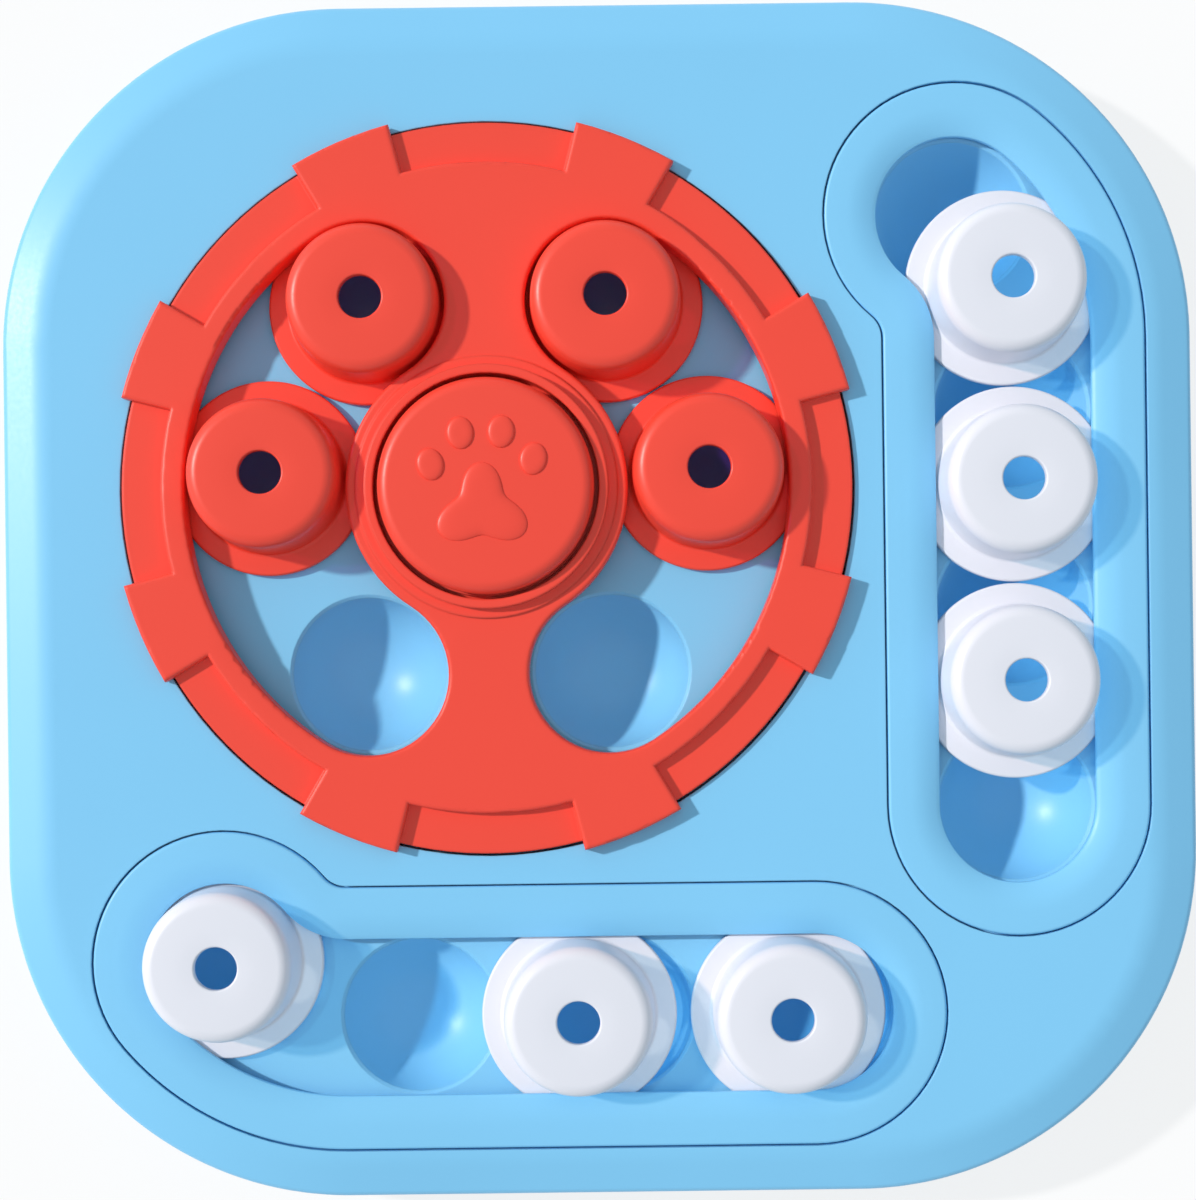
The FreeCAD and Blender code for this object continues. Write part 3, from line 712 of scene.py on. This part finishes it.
@dataclass
class SqueakerBulb:
    """Soft bellows bulb under the button, pressed flat by the button's travel; sizes in millimetres."""

    travel: float = 2.6
    spare: float = 0.2
    sharp: float = 40.0

    def build(self, paint: Paint) -> None:
        """Dress the bulb and give it a mesh of its own.

        Args:
            paint: the finishes.
        """
        piece = smooth_copy("squeaker_bulb", self.sharp)
        paint.dress(piece, "bulb_rubber", "board")
        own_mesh(piece)


@dataclass
class Studio:
    """Pale floor, soft daylight and a crisp key light from the left; the camera looks straight down."""

    floor_half: float = 3.0
    floor_drop: float = 0.05
    floor_tone: float = 0.9
    floor_roughness: float = 0.9
    floor_paper: float = 0.8
    key_strength: float = 2.55
    key_tint: tuple[float, float, float] = (1.06, 1.0, 0.96)
    key_elevation: float = 37.0
    key_azimuth: float = 163.0
    key_softness: float = 3.0
    key_distance: float = 2.0
    sky_strength: float = 0.49
    sky_tint: tuple[float, float, float, float] = (0.85, 1.0, 1.08, 1.0)
    board_top: float = 26.5
    camera_above_top: float = 520.0
    sensor: float = 36.0
    near_clip: float = 0.01
    millimetres_per_pixel: float = 0.2365
    foot_point: tuple[float, float] = (610.0, 700.0)
    trim: tuple[float, float] = (1.5, -2.0)
    roll: float = -0.72

    @staticmethod
    def seen_directly(tree: bpy.types.NodeTree) -> bpy.types.NodeSocket:
        """Add a socket that is 1 on camera and glossy rays and 0 on all others.

        Args:
            tree: the node tree.

        Returns:
            The socket.
        """
        rays = tree.nodes.new("ShaderNodeLightPath")
        either = tree.nodes.new("ShaderNodeMath")
        either.operation = "MAXIMUM"
        tree.links.new(rays.outputs["Is Camera Ray"], either.inputs[0])
        tree.links.new(rays.outputs["Is Glossy Ray"], either.inputs[1])
        return either.outputs[0]

    def floor(self) -> None:
        """Lay a pale floor that is white to the camera, keeps a faint shadow and is clear from below."""
        side = self.floor_half
        low = -self.floor_drop * MM
        points = np.array(((-side, -side, low), (side, -side, low), (side, side, low), (-side, side, low)))
        mesh = bpy.data.meshes.new("studio_floor")
        mesh.from_pydata(points, [], [(0, 1, 2, 3)])
        plane = bpy.data.objects.new("studio_floor", mesh)
        bpy.context.scene.collection.objects.link(plane)
        made = bpy.data.materials.new("floor_white")
        made.use_nodes = True
        tree = made.node_tree
        nodes = tree.nodes
        matt = nodes["Principled BSDF"]
        matt.inputs["Base Color"].default_value = (self.floor_tone, self.floor_tone, self.floor_tone, 1.0)
        matt.inputs["Roughness"].default_value = self.floor_roughness
        paper = nodes.new("ShaderNodeEmission")
        paper.inputs["Strength"].default_value = 1.0
        share = nodes.new("ShaderNodeMath")
        share.operation = "MULTIPLY"
        share.inputs[1].default_value = self.floor_paper
        tree.links.new(self.seen_directly(tree), share.inputs[0])
        above = mixed(tree, share.outputs[0], matt.outputs[0], paper.outputs[0])
        face = nodes.new("ShaderNodeNewGeometry")
        clear = nodes.new("ShaderNodeBsdfTransparent")
        one_way = mixed(tree, face.outputs["Backfacing"], above, clear.outputs[0])
        tree.links.new(one_way, nodes["Material Output"].inputs["Surface"])
        mesh.materials.append(made)

    def sky(self) -> None:
        """Set an even, slightly blue sky that the camera and reflections see as white."""
        world = bpy.data.worlds.new("studio_sky")
        bpy.context.scene.world = world
        world.use_nodes = True
        tree = world.node_tree
        tinted = tree.nodes["Background"]
        tinted.inputs["Color"].default_value = self.sky_tint
        tinted.inputs["Strength"].default_value = self.sky_strength
        white = tree.nodes.new("ShaderNodeBackground")
        white.inputs["Color"].default_value = (1.0, 1.0, 1.0, 1.0)
        white.inputs["Strength"].default_value = 1.0
        both = mixed(tree, self.seen_directly(tree), tinted.outputs[0], white.outputs[0])
        tree.links.new(both, tree.nodes["World Output"].inputs["Surface"])

    def key(self) -> None:
        """Set the key light."""
        lamp = bpy.data.lights.new("key", "SUN")
        lamp.energy = self.key_strength
        lamp.color = self.key_tint
        lamp.angle = math.radians(self.key_softness)
        stand = bpy.data.objects.new("key", lamp)
        turn = math.radians(self.key_azimuth)
        rise = math.radians(self.key_elevation)
        towards = Vector((math.cos(turn) * math.cos(rise), math.sin(turn) * math.cos(rise), math.sin(rise)))
        stand.rotation_euler = towards.to_track_quat("Z", "Y").to_euler()
        stand.location = towards * self.key_distance
        bpy.context.scene.collection.objects.link(stand)

    def camera(self) -> None:
        """Place the camera above the point of the photograph where its upright axis meets the board."""
        lens = bpy.data.cameras.new("camera")
        lens.sensor_fit = "VERTICAL"
        lens.sensor_height = self.sensor
        lens.lens = self.sensor * self.camera_above_top / (PHOTO_HEIGHT * self.millimetres_per_pixel)
        lens.shift_x = (PHOTO_WIDTH / 2 - self.foot_point[0] - self.trim[0]) / PHOTO_HEIGHT
        lens.shift_y = (self.foot_point[1] - PHOTO_HEIGHT / 2 + self.trim[1]) / PHOTO_HEIGHT
        lens.clip_start = self.near_clip
        stand = bpy.data.objects.new("camera", lens)
        roll = math.radians(self.roll)
        across = (self.foot_point[0] - PHOTO_WIDTH / 2) * self.millimetres_per_pixel * MM
        down = (self.foot_point[1] - PHOTO_HEIGHT / 2) * self.millimetres_per_pixel * MM
        stand.location = (
            across * math.cos(roll) + down * math.sin(roll),
            across * math.sin(roll) - down * math.cos(roll),
            (self.board_top + self.camera_above_top) * MM,
        )
        stand.rotation_euler = (0.0, 0.0, roll)
        bpy.context.scene.collection.objects.link(stand)
        bpy.context.scene.camera = stand


KNOB_NODES = [f"knob_{side}_{n}" for side in ("right", "front") for n in (1, 2, 3)]
PEG_NODES = [f"peg_{side}_{place}" for side in ("left", "right") for place in ("upper", "lower")]
PLAIN_NODES = ["cover_screws_right", "cover_screws_front", "hub_screws", "hub_retainer", "squeaker_reed"]
PLAIN_NODES += [f"foot_{end}_{side}" for end in ("back", "front") for side in ("left", "right")]


def main() -> None:
    """Build every sub-assembly in order, then the studio."""
    logging.basicConfig(level=logging.INFO)
    paint = Paint()
    paint.dress(smooth_copy("base_board"), "board_plastic", "board")
    for side in Side:
        TrackCover(side).build(paint)
    paint.dress(smooth_copy("steering_wheel"), "wheel_plastic", "wheel")
    HornButton().build(paint)
    SqueakerBulb().build(paint)
    for node in KNOB_NODES + PEG_NODES:
        Knob().build(node, paint)
    paint.carry_over(PLAIN_NODES)
    studio = Studio()
    studio.floor()
    studio.sky()
    studio.key()
    studio.camera()
    bpy.context.scene.view_settings.view_transform = "Standard"


if __name__ == "__main__":
    main()
